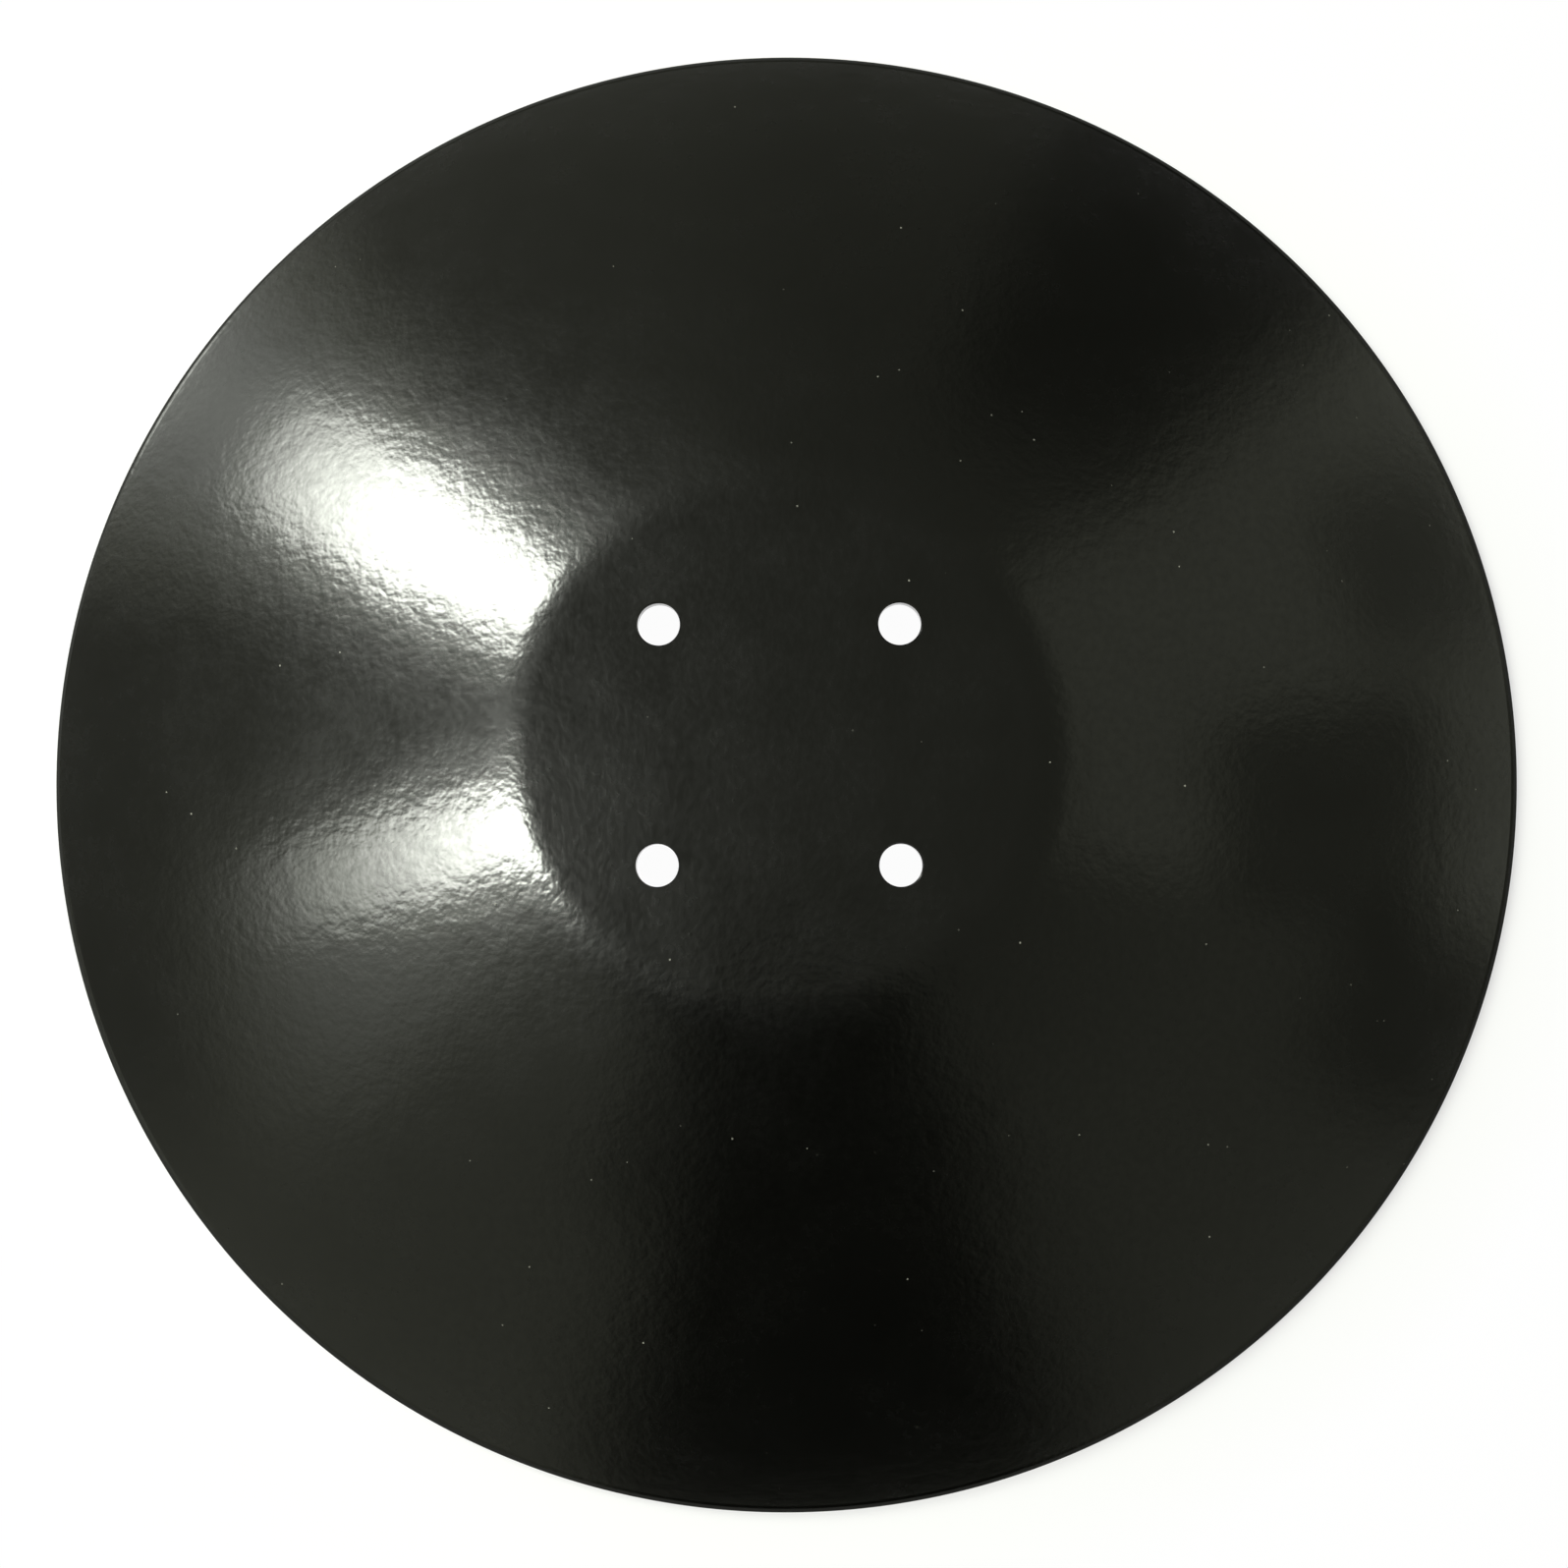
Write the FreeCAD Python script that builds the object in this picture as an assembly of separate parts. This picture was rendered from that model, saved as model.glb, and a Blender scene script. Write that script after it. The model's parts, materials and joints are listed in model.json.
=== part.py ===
# Harrow disc blade: one round plate of hardened steel, pressed to a shallow
# dish with a flat centre, punched for four bolts and bevelled round its edge.
# Millimetres. It lies hollow side down, as it comes to rest. The origin is the
# centre of the circle that its edge stands on, and +Z is the axis of the dish.

import FreeCAD, Part
import math
import os

# Driving dimensions
blade_diameter = 560.0      # over the cutting edge
plate_thickness = 5.0       # square to the surface, the same all over
dish_radius = 600.0         # of the hollow face, which is part of a sphere
flat_diameter = 190.0       # of the flat on the domed face, if it met the dome with no bend
bend_radius = 100.0         # between the flat and the dome, on the domed face
bevel_width = 3.0           # of the bevel round the edge, seen along the axis
bevel_slope = 35.0          # of the bevel, down from the plane of the flat
bevel_round = 0.8           # where the bevel meets the dome and the upright edge
bolt_circle = 120.0
bolt_count = 4
bolt_hole_diameter = 15.0
hole_edge_break = 0.5       # chamfer at both ends of each hole


# A point of the section, which lies in the XZ plane.
def at(radius, height):
    return FreeCAD.Vector(radius, 0, height)


# The point of an arc at an angle, in radians, from straight up.
def arc_point(centre, radius, angle):
    return centre + radius * at(math.sin(angle), math.cos(angle))


# An arc of the section between two such angles.
def arc(centre, radius, start, end):
    angles = (start, (start + end) / 2, end)
    return Part.Arc(*[arc_point(centre, radius, angle) for angle in angles]).toShape()


# Sizes that follow. The hollow face ends at the cutting edge, at height 0, so
# the middle of its sphere lies below. The domed face is parallel to it.
rim_radius = blade_diameter / 2
dome_radius = dish_radius + plate_thickness
sphere = at(0, -math.sqrt(dish_radius ** 2 - rim_radius ** 2))
rim_angle = math.asin(rim_radius / dish_radius)
flat_height = sphere.z + math.sqrt(dome_radius ** 2 - (flat_diameter / 2) ** 2)

# Both faces of the bend turn about one circle, placed so that the domed face
# is tangent to the flat and to the sphere.
bend_rise = flat_height - bend_radius - sphere.z
bend = at(math.sqrt((dome_radius - bend_radius) ** 2 - bend_rise ** 2), sphere.z + bend_rise)
bend_angle = math.atan2(bend.x, bend_rise)

# The bevel leaves the dome at bevel_top and runs down to the upright edge. Its
# upper round is tangent to the dome and the bevel, and its lower round to the
# bevel and the upright edge.
bevel_angle = math.radians(bevel_slope)
bevel_top_angle = math.asin((rim_radius - bevel_width) / dome_radius)
bevel_top = arc_point(sphere, dome_radius, bevel_top_angle)
bevel_foot = at(rim_radius, bevel_top.z - bevel_width * math.tan(bevel_angle))
top_turn = dome_radius * math.cos(bevel_angle - bevel_top_angle) - bevel_round
dome_end_angle = bevel_angle - math.acos(top_turn / (dome_radius - bevel_round))
top_round = arc_point(sphere, dome_radius - bevel_round, dome_end_angle)
foot_drop = bevel_round * (1 - math.sin(bevel_angle)) / math.cos(bevel_angle)
foot_round = at(rim_radius - bevel_round, bevel_foot.z - foot_drop)


# Half of the section: out along the hollow face, up the edge and back along
# the domed face to the axis.
def blade_section():
    hollow_middle = at(0, flat_height - plate_thickness)
    domed_middle = at(0, flat_height)
    hollow_side = [
        Part.makeLine(hollow_middle, at(bend.x, hollow_middle.z)),
        arc(bend, bend_radius - plate_thickness, 0, bend_angle),
        arc(sphere, dish_radius, bend_angle, rim_angle),
    ]
    edge = [
        Part.makeLine(at(rim_radius, 0), at(rim_radius, foot_round.z)),
        arc(foot_round, bevel_round, math.pi / 2, bevel_angle),
        Part.makeLine(arc_point(foot_round, bevel_round, bevel_angle),
                      arc_point(top_round, bevel_round, bevel_angle)),
        arc(top_round, bevel_round, bevel_angle, dome_end_angle),
    ]
    domed_side = [
        arc(sphere, dome_radius, dome_end_angle, bend_angle),
        arc(bend, bend_radius, bend_angle, 0),
        Part.makeLine(at(bend.x, domed_middle.z), domed_middle),
        Part.makeLine(domed_middle, hollow_middle),
    ]
    return Part.Wire(hollow_side + edge + domed_side)


# The plate, dished and bevelled, before it is punched.
def dished_plate():
    return Part.Face(blade_section()).revolve(at(0, 0), at(0, 1), 360)


# One punch for each bolt, half a step off the X axis, so that four of them
# stand on a square whose sides run along X and Y.
def bolt_punches():
    step = 360 / bolt_count
    first = Part.makeCylinder(bolt_hole_diameter / 2, flat_height, at(bolt_circle / 2, 0))
    return [first.rotated(at(0, 0), at(0, 1), (index + 0.5) * step) for index in range(bolt_count)]


# The edges at both ends of every hole.
def hole_edges(shape):
    hole_radius = bolt_hole_diameter / 2
    circles = [edge for edge in shape.Edges if isinstance(edge.Curve, Part.Circle)]
    return [edge for edge in circles if math.isclose(edge.Curve.Radius, hole_radius)]


blade = dished_plate().cut(bolt_punches())
blade = blade.makeChamfer(hole_edge_break, hole_edges(blade))

os.makedirs("parts", exist_ok=True)
blade.exportStep("parts/disc_blade.step")
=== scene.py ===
import json
import math
import bmesh
import bpy
import numpy as np
from mathutils import Matrix, Vector


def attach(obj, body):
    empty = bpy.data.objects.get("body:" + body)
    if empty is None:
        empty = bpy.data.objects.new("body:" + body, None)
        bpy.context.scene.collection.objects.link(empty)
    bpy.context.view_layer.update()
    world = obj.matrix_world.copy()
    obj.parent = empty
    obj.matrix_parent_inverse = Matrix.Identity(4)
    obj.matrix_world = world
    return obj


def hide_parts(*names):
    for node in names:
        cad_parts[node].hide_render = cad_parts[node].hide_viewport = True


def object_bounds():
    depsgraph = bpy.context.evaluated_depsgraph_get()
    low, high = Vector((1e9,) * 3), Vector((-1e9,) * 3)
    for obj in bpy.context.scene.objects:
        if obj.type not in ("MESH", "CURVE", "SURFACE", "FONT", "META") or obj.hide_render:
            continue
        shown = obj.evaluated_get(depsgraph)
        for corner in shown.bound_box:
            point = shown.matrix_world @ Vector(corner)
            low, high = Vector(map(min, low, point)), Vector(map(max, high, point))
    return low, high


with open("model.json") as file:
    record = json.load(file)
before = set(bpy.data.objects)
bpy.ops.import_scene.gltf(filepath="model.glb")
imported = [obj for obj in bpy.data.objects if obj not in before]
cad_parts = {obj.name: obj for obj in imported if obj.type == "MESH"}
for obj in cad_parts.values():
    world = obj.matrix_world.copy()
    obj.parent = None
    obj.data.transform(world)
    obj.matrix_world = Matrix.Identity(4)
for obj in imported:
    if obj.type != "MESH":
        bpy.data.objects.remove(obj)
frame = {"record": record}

# A harrow disc blade: one black enamelled plate that lies hollow side down. Metres, +Z up.
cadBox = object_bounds()
boxLow, boxHigh = cadBox
rimRadius = boxHigh.x
bladeHeight = boxHigh.z
mounts = {mount["name"]: mount for mount in frame["record"]["mounts"]}
boltCircle = mounts["hub_bolts"]["dims"]["pcd_mm"] / 1000
boltHole = mounts["hub_bolts"]["dims"]["hole_r_mm"] / 1000
print("frame loaded, blade", round(rimRadius * 2, 3), "across and", round(bladeHeight, 4), "high")


def linear(hexColour):
    # sRGB hex to linear red, green, blue and alpha
    parts = [int(hexColour[i:i + 2], 16) / 255 for i in (1, 3, 5)]
    return [c / 12.92 if c <= 0.04045 else ((c + 0.055) / 1.055) ** 2.4 for c in parts] + [1.0]


def addNode(tree, kind, settings=None, **links):
    # One node. settings are its properties and sockets; links feed a socket from another node's output.
    node = tree.nodes.new(kind)
    for name, value in (settings or {}).items():
        if isinstance(name, int) or name in node.inputs:
            node.inputs[name].default_value = value
        else:
            setattr(node, name, value)
    for name, source in links.items():
        socket = int(name[1:]) if name[0] == "_" and name[1:].isdigit() else name.replace("_", " ")
        tree.links.new(source, node.inputs[socket])
    return node


blade = {
    "plate": 0.005,                    # thickness
    "dishRadius": 0.600,               # of the hollow face
    "bendRadius": 0.100,               # round the flat centre, on the domed face
    "bevelWidth": 0.0030,              # round the edge, seen from above
    "bevelSlope": math.radians(35),
    "bevelRound": 0.0008,
    "holeBreak": 0.0005,               # chamfer at both ends of a bolt hole
    "stepsRound": 480,                 # a multiple of 4, for the quarters of the flat centre
    "stepsAcross": 24,                 # along a quarter's straight sides
    "sharpAngle": math.radians(35),    # a corner above this stays crisp
}


def arcPoints(centre, radius, start, end, steps):
    # centre + radius * (sine, cosine) of an angle from straight up that runs evenly from start to end
    angle = np.linspace(start, end, steps + 1)
    return np.column_stack([centre[0] + radius * np.sin(angle), centre[1] + radius * np.cos(angle)])


def bladeOutline(b):
    # (radius, height) from the flat's rim on the domed side, over the edge, to the flat's rim underneath.
    # The hollow face is a sphere that meets height 0 at the rim, and the domed face is parallel to it.
    # The bend is an arc that is tangent to the flat and to the sphere.
    domeRadius = b["dishRadius"] + b["plate"]
    sphere = (0.0, -math.sqrt(b["dishRadius"] ** 2 - rimRadius ** 2))
    bendRise = bladeHeight - b["bendRadius"] - sphere[1]
    bend = (math.sqrt((domeRadius - b["bendRadius"]) ** 2 - bendRise ** 2), sphere[1] + bendRise)
    bendAngle = math.atan2(bend[0], bendRise)
    slope, roundRadius = b["bevelSlope"], b["bevelRound"]
    topAngle = math.asin((rimRadius - b["bevelWidth"]) / domeRadius)
    footHeight = sphere[1] + domeRadius * math.cos(topAngle) - b["bevelWidth"] * math.tan(slope)
    reach = domeRadius - roundRadius
    domeEnd = slope - math.acos((domeRadius * math.cos(slope - topAngle) - roundRadius) / reach)
    topRound = (reach * math.sin(domeEnd), sphere[1] + reach * math.cos(domeEnd))
    footRound = (rimRadius - roundRadius,
                 footHeight - roundRadius * (1 - math.sin(slope)) / math.cos(slope))
    rimAngle = math.asin(rimRadius / b["dishRadius"])
    stretches = [
        arcPoints(bend, b["bendRadius"], 0, bendAngle, 14),
        arcPoints(sphere, domeRadius, bendAngle, domeEnd, 44),
        arcPoints(topRound, roundRadius, domeEnd, slope, 4),
        arcPoints(footRound, roundRadius, slope, math.pi / 2, 5),
        arcPoints(sphere, b["dishRadius"], rimAngle, bendAngle, 28),
        arcPoints(bend, b["bendRadius"] - b["plate"], bendAngle, 0, 8),
    ]
    points = np.concatenate(stretches)
    step = np.hypot(*np.diff(points, axis=0).T)
    return points[np.append(True, step > 1e-7)]


def turnedGrid(outline, steps):
    # (radius * cosine, radius * sine, height) for every outline point and every angle of a full turn
    angle = np.linspace(0, 2 * np.pi, steps + 1)
    radius, height = outline[:, :1], outline[:, 1:]
    return np.stack([radius * np.cos(angle), radius * np.sin(angle), height + 0 * angle], axis=-1)


def quarterGrid(b, flatRadius, quarter):
    # A quarter of the flat centre, from its border on top, down through the bolt hole, to its border
    # underneath. Every column runs from one border point straight at the hole's middle:
    # middle + share * (border - middle) on the flats, and middle + radius * direction in the hole.
    turn = quarter * np.pi / 2
    arc = np.linspace(turn, turn + np.pi / 2, b["stepsRound"] // 4 + 1)[:, None]
    out = np.linspace(0, flatRadius, b["stepsAcross"] + 1)[:, None]
    firstSide = out * [np.cos(turn), np.sin(turn)]
    lastSide = out[::-1] * [-np.sin(turn), np.cos(turn)]
    curved = flatRadius * np.hstack([np.cos(arc), np.sin(arc)])
    border = np.concatenate([firstSide, curved[1:-1], lastSide])
    middle = boltCircle / 2 * np.array([np.cos(turn + np.pi / 4), np.sin(turn + np.pi / 4)])
    away = border - middle
    distance = np.linalg.norm(away, axis=1, keepdims=True)
    direction = away / distance

    mouth = boltHole + b["holeBreak"]
    share = np.linspace(1, 0, 9)[:, None, None] ** 1.4
    flatRows = middle + direction * (mouth + share * (distance - mouth))
    wallRows = middle + direction * np.array([boltHole, boltHole])[:, None, None]
    plan = np.concatenate([flatRows, wallRows, flatRows[::-1]])
    under = bladeHeight - b["plate"]
    heights = np.concatenate([
        np.full(9, bladeHeight), [bladeHeight - b["holeBreak"], under + b["holeBreak"]], np.full(9, under)])
    return np.dstack([plan, np.repeat(heights[:, None], len(border), axis=1)])


def meshFromGrids(name, grids):
    # Each grid's neighbouring points make its faces; points that two grids share are merged.
    points, faces, start = [], [], 0
    for grid in grids:
        rows, columns = grid.shape[:2]
        index = start + np.arange(rows * columns).reshape(rows, columns)
        corners = [index[:-1, :-1], index[1:, :-1], index[1:, 1:], index[:-1, 1:]]
        faces.append(np.stack(corners, axis=-1).reshape(-1, 4))
        points.append(grid.reshape(-1, 3))
        start += rows * columns
    mesh = bpy.data.meshes.new(name)
    mesh.from_pydata(np.concatenate(points), [], np.concatenate(faces))
    work = bmesh.new()
    work.from_mesh(mesh)
    bmesh.ops.remove_doubles(work, verts=work.verts, dist=2e-6)
    bmesh.ops.recalc_face_normals(work, faces=work.faces)
    work.to_mesh(mesh)
    work.free()
    return mesh


def makeBlade(b):
    outline = bladeOutline(b)
    flatRadius = outline[0, 0]
    grids = [turnedGrid(outline, b["stepsRound"])]
    grids += [quarterGrid(b, flatRadius, quarter) for quarter in range(4)]
    mesh = meshFromGrids("blade_plate", grids)
    mesh.shade_smooth()
    mesh.set_sharp_from_angle(angle=b["sharpAngle"])
    piece = bpy.data.objects.new("blade_plate", mesh)
    bpy.context.scene.collection.objects.link(piece)
    edgeUse = np.zeros(len(mesh.loops), dtype=np.int32)
    mesh.loops.foreach_get("edge_index", edgeUse)
    openEdges = int((np.bincount(edgeUse) != 2).sum())
    print("blade mesh", len(mesh.polygons), "faces, open or doubled edges", openEdges)
    return piece


bladePlate = makeBlade(blade)


enamel = {
    "colour": "#070706",
    "edgeColour": "#0e0e0c",           # thin on the bevel and the edge, and a little dusty
    "dustColour": "#8d8c84",
    "roughness": 0.22,                 # of the pigmented layer
    "smudgeGloss": 0.07,               # how much duller a smudge makes it
    "edgeRoughness": 0.75,
    "edgeSoft": 0.0004,                # from glossy to dull
    "pigmentSpecular": 0.28,
    "skinRoughness": 0.115,            # of the resin skin over it
    "peelWidth": 0.0029,               # orange peel, from a crest to the next hollow
    "peelHeight": 0.000070,
    "peelGloss": 0.06,                 # how much duller its crests are than its hollows
    "peelSkin": 0.2,                   # how much of the skin is missing on its crests
    "swellWidth": 0.0100,              # the long waves under the orange peel
    "swellHeight": 0.00009,
    "lipWidth": 0.0015,                # the upper half of the bevel, where enamel gathered in a lip
    "lipHeight": 0.00052,              # tilts the lip flatter than the bevel; deeper than real paint
    "grainWidth": 0.0008,              # the blasted steel under the enamel; real grit is finer than this
    "grainHeight": 0.000005,
    "smudgeWidth": 0.030,
    "pitSpacing": 0.035,
    "pitRadius": 0.0011,
    "pitDepth": 0.00012,
    "dustSpacing": 0.012,
    "dustRadius": 0.00035,
}


def stovedBlackEnamel(e):
    # Black stoving enamel, sprayed on blasted plate and baked. The pigmented layer gives a soft sheen, and
    # the resin skin that floats over it gives a clear reflection, rippled by orange peel. On the bevel the
    # enamel drew back as it flowed, so it is thin and dull there.
    material = bpy.data.materials.new("stoved_black_enamel")
    material.use_nodes = True
    tree = material.node_tree
    shader = tree.nodes["Principled BSDF"]
    where = addNode(tree, "ShaderNodeTexCoord").outputs["Object"]

    # orange peel from the spray, and smudges: handling marks and uneven flow. Both change the gloss, so
    # the lamps' reflections glint and cloud
    peel = addNode(tree, "ShaderNodeTexNoise",
                   {"Scale": 1 / e["peelWidth"], "Detail": 1.5, "Roughness": 0.55}, Vector=where)
    smudge = addNode(tree, "ShaderNodeTexNoise",
                     {"Scale": 1 / e["smudgeWidth"], "Detail": 4.0, "Roughness": 0.6}, Vector=where)
    dull = addNode(tree, "ShaderNodeMapRange",
                   {"From Min": 0.35, "From Max": 0.75, "To Min": e["roughness"],
                    "To Max": e["roughness"] + e["smudgeGloss"]}, Value=smudge.outputs[0])
    crests = addNode(tree, "ShaderNodeMapRange",
                     {"To Min": -e["peelGloss"], "To Max": e["peelGloss"]}, Value=peel.outputs[0])
    gloss = addNode(tree, "ShaderNodeMath", {"operation": "ADD"}, _0=dull.outputs[0], _1=crests.outputs[0])

    # the lip on the upper half of the bevel, and the dull edge below it
    bevelTop = rimRadius - blade["bevelWidth"]
    split = addNode(tree, "ShaderNodeSeparateXYZ", Vector=where)
    plan = addNode(tree, "ShaderNodeCombineXYZ", X=split.outputs["X"], Y=split.outputs["Y"])
    radius = addNode(tree, "ShaderNodeVectorMath", {"operation": "LENGTH"}, _0=plan.outputs[0])
    lip = addNode(tree, "ShaderNodeMapRange",
                  {"From Min": bevelTop, "From Max": bevelTop + e["lipWidth"]},
                  Value=radius.outputs["Value"])
    edge = addNode(tree, "ShaderNodeMapRange",
                   {"From Min": bevelTop + e["lipWidth"] - e["edgeSoft"],
                    "From Max": bevelTop + e["lipWidth"]}, Value=radius.outputs["Value"])
    roughness = addNode(tree, "ShaderNodeMix", {"data_type": "FLOAT", "B": e["edgeRoughness"]},
                        Factor=edge.outputs[0], A=gloss.outputs[0])
    thin = addNode(tree, "ShaderNodeMapRange",
                   {"From Min": 0.3, "From Max": 0.7, "To Min": 1.0, "To Max": 1 - e["peelSkin"]},
                   Value=peel.outputs[0])
    skin = addNode(tree, "ShaderNodeMix", {"data_type": "FLOAT", "B": 0.0},
                   Factor=edge.outputs[0], A=thin.outputs[0])
    layer = addNode(tree, "ShaderNodeMix",
                    {"data_type": "RGBA", 6: linear(e["colour"]), 7: linear(e["edgeColour"])},
                    Factor=edge.outputs[0])

    # dust: small pale specks, one to a cell, each more or less clear
    dust = addNode(tree, "ShaderNodeTexVoronoi", {"Scale": 1 / e["dustSpacing"]}, Vector=where)
    speck = addNode(tree, "ShaderNodeMath",
                    {"operation": "LESS_THAN", 1: e["dustRadius"] / e["dustSpacing"]},
                    _0=dust.outputs["Distance"])
    chance = addNode(tree, "ShaderNodeSeparateColor", Color=dust.outputs["Color"])
    clear = addNode(tree, "ShaderNodeMath", {"operation": "MULTIPLY"},
                    _0=speck.outputs[0], _1=chance.outputs[0])
    colour = addNode(tree, "ShaderNodeMix", {"data_type": "RGBA", 7: linear(e["dustColour"])},
                     Factor=clear.outputs[0], _6=layer.outputs[2])

    # pits and nibs: a dent or a grain under the enamel, one to a cell, each more or less deep
    pit = addNode(tree, "ShaderNodeTexVoronoi", {"Scale": 1 / e["pitSpacing"]}, Vector=where)
    pitShape = addNode(tree, "ShaderNodeMapRange",
                       {"interpolation_type": "SMOOTHSTEP", "From Min": 0.0,
                        "From Max": e["pitRadius"] / e["pitSpacing"], "To Min": -1.0, "To Max": 0.0},
                       Value=pit.outputs["Distance"])
    pitChance = addNode(tree, "ShaderNodeSeparateColor", Color=pit.outputs["Color"])
    pitSign = addNode(tree, "ShaderNodeMapRange", {"To Min": -1.0, "To Max": 1.0},
                      Value=pitChance.outputs[1])
    pits = addNode(tree, "ShaderNodeMath", {"operation": "MULTIPLY"},
                   _0=pitShape.outputs[0], _1=pitSign.outputs[0])

    # the relief: long waves, orange peel, a finer grain from the blasted steel below, the lip and the pits
    swell = addNode(tree, "ShaderNodeTexNoise", {"Scale": 1 / e["swellWidth"], "Detail": 1.0}, Vector=where)
    grain = addNode(tree, "ShaderNodeTexNoise", {"Scale": 1 / e["grainWidth"], "Detail": 1.0}, Vector=where)
    bump = addNode(tree, "ShaderNodeBump", {"Distance": e["swellHeight"]}, Height=swell.outputs[0])
    bump = addNode(tree, "ShaderNodeBump", {"Distance": e["lipHeight"]},
                   Height=lip.outputs[0], Normal=bump.outputs[0])
    bump = addNode(tree, "ShaderNodeBump", {"Distance": e["peelHeight"]},
                   Height=peel.outputs[0], Normal=bump.outputs[0])
    bump = addNode(tree, "ShaderNodeBump", {"Distance": e["grainHeight"]},
                   Height=grain.outputs[0], Normal=bump.outputs[0])
    bump = addNode(tree, "ShaderNodeBump", {"Distance": e["pitDepth"]},
                   Height=pits.outputs[0], Normal=bump.outputs[0])

    shader.inputs["Metallic"].default_value = 0.0
    shader.inputs["IOR"].default_value = 1.5
    shader.inputs["Specular IOR Level"].default_value = e["pigmentSpecular"]
    shader.inputs["Coat IOR"].default_value = 1.5
    shader.inputs["Coat Roughness"].default_value = e["skinRoughness"]
    tree.links.new(colour.outputs[2], shader.inputs["Base Color"])
    tree.links.new(roughness.outputs[0], shader.inputs["Roughness"])
    tree.links.new(skin.outputs[0], shader.inputs["Coat Weight"])
    tree.links.new(bump.outputs[0], shader.inputs["Normal"])
    tree.links.new(bump.outputs[0], shader.inputs["Coat Normal"])
    return material


bladePlate.data.materials.append(stovedBlackEnamel(enamel))
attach(bladePlate, "root")
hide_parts("disc_blade")
print("blade finished in", bladePlate.data.materials[0].name)


studio = {
    "floorRadius": 12.0,
    "floorColour": "#f2f2f0",
    "floorGlow": 0.97,                 # the share of plain white that shows in the floor
    "shadowGlow": 0.65,                # the same along the blade's edge, which leaves the shadow there
    "shadowWidth": 0.05,
    "backdropTop": math.radians(88),   # from straight up; a white backdrop fills the rest, down to the floor
    "roomColour": "#f2f6dc",
    "litColour": "#f3f7ed",            # where a light falls on a wall, in full from litTo times roomLevel
    "litFrom": 2.0,
    "litTo": 8.0,
    "roomLevel": 0.158,
    "horizonLevel": 0.16,
    "horizonFrom": math.radians(55),
    "horizonTo": math.radians(95),
}

# What stands round the room, by azimuth from +X and angle from straight up, in degrees. share is how much
# of the room's light it sends, and shapes that overlap multiply.
roomShapes = [
    {"name": "camera stand", "azimuth": 274, "spread": 20, "soft": 6,
     "top": 14, "foot": 74, "fade": 8, "share": 0.02},
    {"name": "camera arm", "azimuth": 271, "spread": 31, "soft": 6,
     "top": 8, "foot": 43, "fade": 8, "share": 0.35},
    {"name": "camera boom", "azimuth": 267, "spread": 40, "soft": 9,
     "top": -3, "foot": 24, "fade": 8, "share": 0.15},
    {"name": "front left wall", "azimuth": 228, "spread": 22, "soft": 10,
     "top": 22, "foot": 110, "fade": 12, "share": 2.1},
    {"name": "left wall", "azimuth": 186, "spread": 26, "soft": 14,
     "top": 34, "foot": 62, "fade": 12, "share": 1.6},
    {"name": "light on the left wall", "azimuth": 196, "spread": 10, "soft": 13,
     "top": 32, "foot": 58, "fade": 12, "share": 4.0},
    {"name": "light on the back wall", "azimuth": 144, "spread": 8, "soft": 12,
     "top": 56, "foot": 110, "fade": 12, "share": 11.0},
    {"name": "low light on the back wall", "azimuth": 146, "spread": 8, "soft": 6,
     "top": 83, "foot": 110, "fade": 4, "share": 3.0},
    {"name": "back wall", "azimuth": 113, "spread": 18, "soft": 12,
     "top": 24, "foot": 110, "fade": 14, "share": 1.35},
    {"name": "open doorway", "azimuth": 56, "spread": 14, "soft": 6,
     "top": 42, "foot": 110, "fade": 8, "share": 0.3},
    {"name": "right wall", "azimuth": 18, "spread": 27, "soft": 7,
     "top": 26, "foot": 110, "fade": 5, "share": 2.65},
    {"name": "front right wall", "azimuth": 328, "spread": 26, "soft": 10,
     "top": 34, "foot": 110, "fade": 14, "share": 1.55},
    {"name": "cupboard", "azimuth": 0, "spread": 12, "soft": 4,
     "top": 42, "foot": 67, "fade": 5, "share": 0.33},
    {"name": "low cupboard", "azimuth": 342, "spread": 9, "soft": 5,
     "top": 57, "foot": 77, "fade": 6, "share": 0.45},
    {"name": "shelf", "azimuth": 23, "spread": 8, "soft": 5,
     "top": 60, "foot": 78, "fade": 5, "share": 0.45},
]

# Two strip lamps. Each runs from one direction to the other, as angle from straight up and azimuth, seen
# from the place on the blade that mirrors it. It fades towards its far end from fadeFrom of the way, and
# only nearWidth of its width is lit at its near end, and all of it from flareEnd of the way.
stripLamps = [
    {"name": "back_strip", "over": (-0.13, 0.083, 0.055), "near": (24.0, 140), "far": (70, 145),
     "distance": 2.2, "width": 0.50, "nearWidth": 0.62, "flareEnd": 0.45, "fadeFrom": 0.50,
     "fadePower": 1.25, "radiance": 31.0, "colour": (0.965, 1.0, 0.91)},
    {"name": "front_strip", "over": (-0.12, -0.040, 0.060), "near": (14.0, 175), "far": (62, 190),
     "distance": 2.2, "width": 0.38, "nearWidth": 0.62, "flareEnd": 0.45, "fadeFrom": 0.25,
     "fadePower": 2.6, "radiance": 39.0, "colour": (0.965, 1.0, 0.91)},
]


def direction(zenith, azimuth):
    # unit vector at an angle from straight up and an azimuth from +X, both in degrees
    z, a = math.radians(zenith), math.radians(azimuth)
    return Vector((math.sin(z) * math.cos(a), math.sin(z) * math.sin(a), math.cos(z)))


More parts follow.
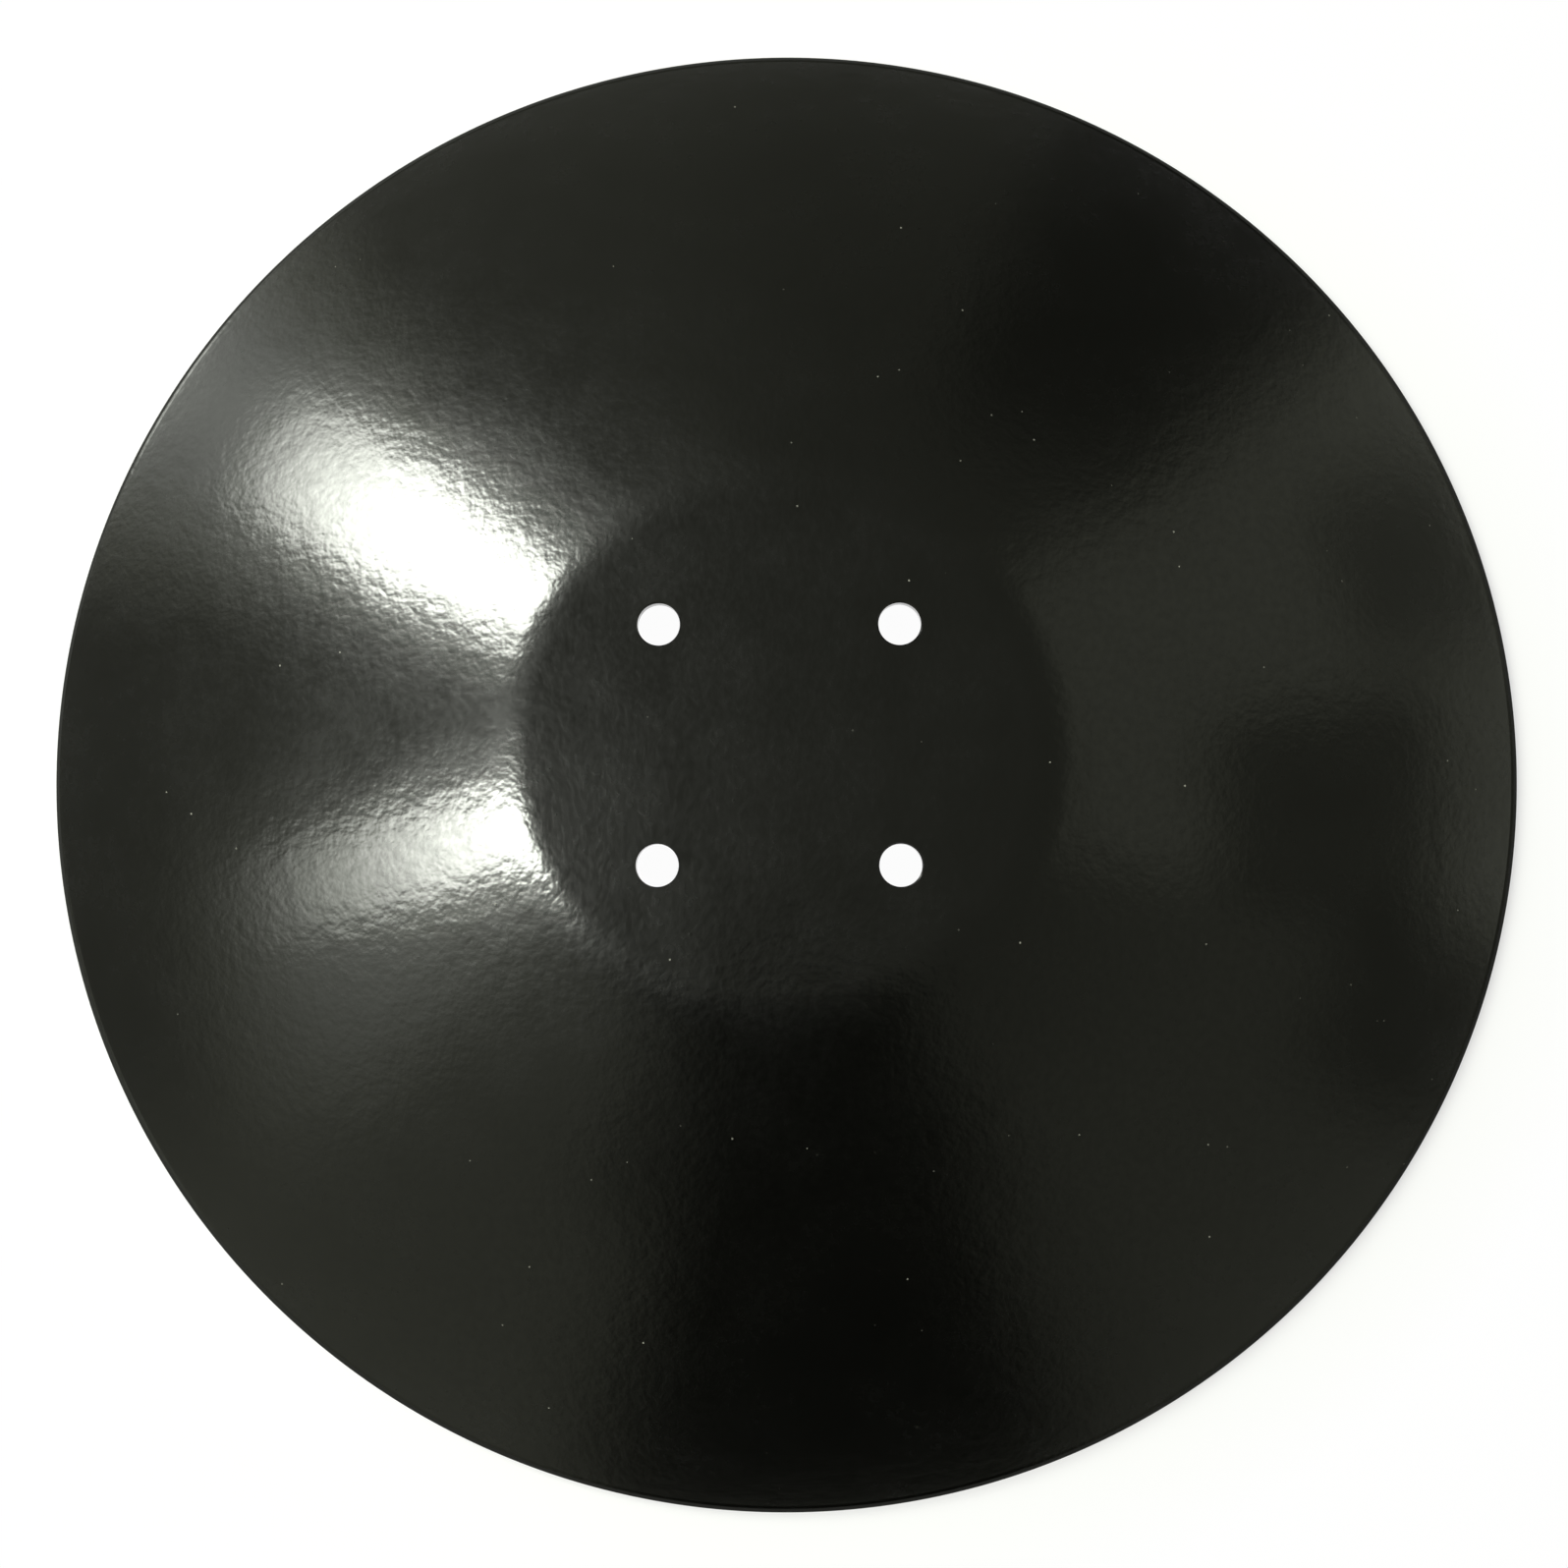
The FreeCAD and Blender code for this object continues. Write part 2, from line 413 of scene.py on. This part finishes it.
def backgroundRay(tree, mirrored=None):
    # 1 where the eye sees the background: straight, through glass or in a reflection, where mirrored is 1
    path = addNode(tree, "ShaderNodeLightPath")
    glossy = path.outputs["Is Glossy Ray"]
    if mirrored:
        glossy = addNode(tree, "ShaderNodeMath", {"operation": "MULTIPLY"},
                         _0=glossy, _1=mirrored).outputs[0]
    seen = addNode(tree, "ShaderNodeMath", {"operation": "MAXIMUM"},
                   _0=path.outputs["Is Camera Ray"], _1=path.outputs["Is Transmission Ray"])
    return addNode(tree, "ShaderNodeMath", {"operation": "MAXIMUM"},
                   _0=seen.outputs[0], _1=glossy).outputs[0]


def makeFloor(s):
    # A flat round sheet: (radius * cosine, radius * sine, 0).
    mesh = bpy.data.meshes.new("studio_floor")
    angle = np.linspace(0, 2 * np.pi, 96, endpoint=False)
    rim = s["floorRadius"] * np.column_stack([np.cos(angle), np.sin(angle), 0 * angle])
    mesh.from_pydata(rim, [], [range(len(rim))])
    floor = bpy.data.objects.new("studio_floor", mesh)
    bpy.context.scene.collection.objects.link(floor)
    material = bpy.data.materials.new("matt_white_paper")
    material.use_nodes = True
    tree = material.node_tree
    tree.nodes.clear()
    paper = addNode(tree, "ShaderNodeBsdfDiffuse", {"Color": linear(s["floorColour"])})
    white = addNode(tree, "ShaderNodeEmission", {"Strength": 1.0})
    where = addNode(tree, "ShaderNodeTexCoord").outputs["Object"]
    radius = addNode(tree, "ShaderNodeVectorMath", {"operation": "LENGTH"}, _0=where)
    away = addNode(tree, "ShaderNodeMath", {"operation": "SUBTRACT", 1: rimRadius},
                   _0=radius.outputs["Value"])
    away = addNode(tree, "ShaderNodeMath", {"operation": "ABSOLUTE"}, _0=away.outputs[0])
    glow = addNode(tree, "ShaderNodeMapRange",
                   {"From Max": s["shadowWidth"], "To Min": s["shadowGlow"], "To Max": s["floorGlow"]},
                   Value=away.outputs[0])
    part = addNode(tree, "ShaderNodeMath", {"operation": "MULTIPLY"},
                   _0=backgroundRay(tree), _1=glow.outputs[0])
    mix = addNode(tree, "ShaderNodeMixShader", Fac=part.outputs[0], _1=paper.outputs[0], _2=white.outputs[0])
    addNode(tree, "ShaderNodeOutputMaterial", Surface=mix.outputs[0])
    material.cycles.emission_sampling = "NONE"
    mesh.materials.append(material)


def shapeShare(tree, azimuth, zenith, shape):
    # 1 away from the shape, its share inside it, with soft borders in azimuth and in zenith angle
    away = addNode(tree, "ShaderNodeMath", {"operation": "SUBTRACT", 1: math.radians(shape["azimuth"])},
                   _0=azimuth)
    away = addNode(tree, "ShaderNodeMath", {"operation": "WRAP", 1: math.pi, 2: -math.pi},
                   _0=away.outputs[0])
    away = addNode(tree, "ShaderNodeMath", {"operation": "ABSOLUTE"}, _0=away.outputs[0])
    spread, soft, fade = (math.radians(shape[key]) for key in ("spread", "soft", "fade"))
    top, foot = math.radians(shape["top"]), math.radians(shape["foot"])
    sides = addNode(tree, "ShaderNodeMapRange",
                    {"interpolation_type": "SMOOTHSTEP", "From Min": spread - soft,
                     "From Max": spread + soft, "To Min": 1.0, "To Max": 0.0}, Value=away.outputs[0])
    above = addNode(tree, "ShaderNodeMapRange",
                    {"interpolation_type": "SMOOTHSTEP", "From Min": top - fade,
                     "From Max": top + fade}, Value=zenith)
    below = addNode(tree, "ShaderNodeMapRange",
                    {"interpolation_type": "SMOOTHSTEP", "From Min": foot - fade,
                     "From Max": foot + fade, "To Min": 1.0, "To Max": 0.0}, Value=zenith)
    inside = addNode(tree, "ShaderNodeMath", {"operation": "MULTIPLY"},
                     _0=sides.outputs[0], _1=above.outputs[0])
    inside = addNode(tree, "ShaderNodeMath", {"operation": "MULTIPLY"},
                     _0=inside.outputs[0], _1=below.outputs[0])
    return addNode(tree, "ShaderNodeMapRange", {"To Min": 1.0, "To Max": shape["share"]},
                   Value=inside.outputs[0])


def makeRoom(s, shapes):
    # A dim room with soft shapes round it, for light and reflections, and a white backdrop past the floor.
    world = bpy.data.worlds.new("dim_room")
    bpy.context.scene.world = world
    world.use_nodes = True
    tree = world.node_tree
    tree.nodes.clear()
    where = addNode(tree, "ShaderNodeTexCoord").outputs["Generated"]
    split = addNode(tree, "ShaderNodeSeparateXYZ", Vector=where)
    azimuth = addNode(tree, "ShaderNodeMath", {"operation": "ARCTAN2"},
                      _0=split.outputs["Y"], _1=split.outputs["X"]).outputs[0]
    zenith = addNode(tree, "ShaderNodeMath", {"operation": "ARCCOSINE"}, _0=split.outputs["Z"]).outputs[0]
    level = addNode(tree, "ShaderNodeMapRange",
                    {"interpolation_type": "SMOOTHSTEP", "From Min": s["horizonFrom"],
                     "From Max": s["horizonTo"], "To Min": s["roomLevel"],
                     "To Max": s["horizonLevel"]}, Value=zenith)
    for shape in shapes:
        share = shapeShare(tree, azimuth, zenith, shape)
        level = addNode(tree, "ShaderNodeMath", {"operation": "MULTIPLY"},
                        _0=level.outputs[0], _1=share.outputs[0])
    lit = addNode(tree, "ShaderNodeMapRange",
                  {"From Min": s["roomLevel"] * s["litFrom"], "From Max": s["roomLevel"] * s["litTo"]},
                  Value=level.outputs[0])
    colour = addNode(tree, "ShaderNodeMix",
                     {"data_type": "RGBA", 6: linear(s["roomColour"]), 7: linear(s["litColour"])},
                     Factor=lit.outputs[0])
    room = addNode(tree, "ShaderNodeBackground", Color=colour.outputs[2], Strength=level.outputs[0])
    white = addNode(tree, "ShaderNodeBackground", {"Color": (1, 1, 1, 1), "Strength": 1.0})
    backdrop = addNode(tree, "ShaderNodeMath", {"operation": "GREATER_THAN", 1: s["backdropTop"]}, _0=zenith)
    mix = addNode(tree, "ShaderNodeMixShader", Fac=backgroundRay(tree, backdrop.outputs[0]),
                  _1=room.outputs[0], _2=white.outputs[0])
    addNode(tree, "ShaderNodeOutputWorld", Surface=mix.outputs[0])


def makeStripLamp(lamp):
    # A flat lamp between two directions, facing the place it lights.
    over = Vector(lamp["over"])
    near, far = (over + lamp["distance"] * direction(*lamp[end]) for end in ("near", "far"))
    middle = (near + far) / 2
    along = (far - near).normalized()
    back = (middle - over).normalized()
    across = back.cross(along)
    data = bpy.data.lights.new(lamp["name"], "AREA")
    data.shape = "RECTANGLE"
    data.size, data.size_y = (far - near).length, lamp["width"]
    data.energy = lamp["radiance"] * math.pi * data.size * data.size_y
    data.color = lamp["colour"]

    # along it, (1 - way past fadeFrom) ^ fadePower; across it, 1 - share of the lit half width ^ 4
    data.use_nodes = True
    tree = data.node_tree
    where = addNode(tree, "ShaderNodeNewGeometry").outputs["Position"]
    fromNear = addNode(tree, "ShaderNodeVectorMath", {"operation": "SUBTRACT", 1: near}, _0=where)
    way = addNode(tree, "ShaderNodeVectorMath", {"operation": "DOT_PRODUCT", 1: along / data.size},
                  _0=fromNear.outputs[0])
    left = addNode(tree, "ShaderNodeMapRange",
                   {"From Min": lamp["fadeFrom"], "From Max": 1.0, "To Min": 1.0, "To Max": 0.0},
                   Value=way.outputs["Value"])
    fade = addNode(tree, "ShaderNodeMath", {"operation": "POWER", 1: lamp["fadePower"]},
                   _0=left.outputs[0])
    out = addNode(tree, "ShaderNodeVectorMath",
                  {"operation": "DOT_PRODUCT", 1: across * 2 / lamp["width"]}, _0=fromNear.outputs[0])
    flare = addNode(tree, "ShaderNodeMapRange",
                    {"From Max": lamp["flareEnd"], "To Min": lamp["nearWidth"], "To Max": 1.0},
                    Value=way.outputs["Value"])
    share = addNode(tree, "ShaderNodeMath", {"operation": "DIVIDE"},
                    _0=out.outputs["Value"], _1=flare.outputs[0])
    loss = addNode(tree, "ShaderNodeMath", {"operation": "POWER", 1: 4.0}, _0=share.outputs[0])
    bell = addNode(tree, "ShaderNodeMath", {"operation": "SUBTRACT", "use_clamp": True, 0: 1.0},
                   _1=loss.outputs[0])
    strength = addNode(tree, "ShaderNodeMath", {"operation": "MULTIPLY"},
                       _0=fade.outputs[0], _1=bell.outputs[0])
    tree.links.new(strength.outputs[0], tree.nodes["Emission"].inputs["Strength"])

    light = bpy.data.objects.new(lamp["name"], data)
    turn = Matrix((along, across, back)).transposed().to_4x4()
    light.matrix_world = Matrix.Translation(middle) @ turn
    light.visible_camera = False
    bpy.context.scene.collection.objects.link(light)


makeFloor(studio)
makeRoom(studio, roomShapes)
for stripLamp in stripLamps:
    makeStripLamp(stripLamp)
print("studio lit by", len(stripLamps), "strip lamps")


view = {
    "place": (0.0118, -0.0668, 0.700),
    "aim": (0.0007, -0.0085, 0.0),
    "lens": 41.8,
    "sensor": 36.0,
}


def makeCamera(v):
    data = bpy.data.cameras.new("studio_camera")
    data.lens, data.sensor_width = v["lens"], v["sensor"]
    data.clip_start, data.clip_end = 0.01, 100
    camera = bpy.data.objects.new("studio_camera", data)
    forward = (Vector(v["aim"]) - Vector(v["place"])).normalized()
    right = forward.cross(Vector((0, 1, 0))).normalized()
    up = right.cross(forward)
    turn = Matrix((right, up, -forward)).transposed().to_4x4()
    camera.matrix_world = Matrix.Translation(v["place"]) @ turn
    bpy.context.scene.collection.objects.link(camera)
    bpy.context.scene.camera = camera


makeCamera(view)
bpy.context.scene.view_settings.view_transform = "Standard"
print("camera placed")
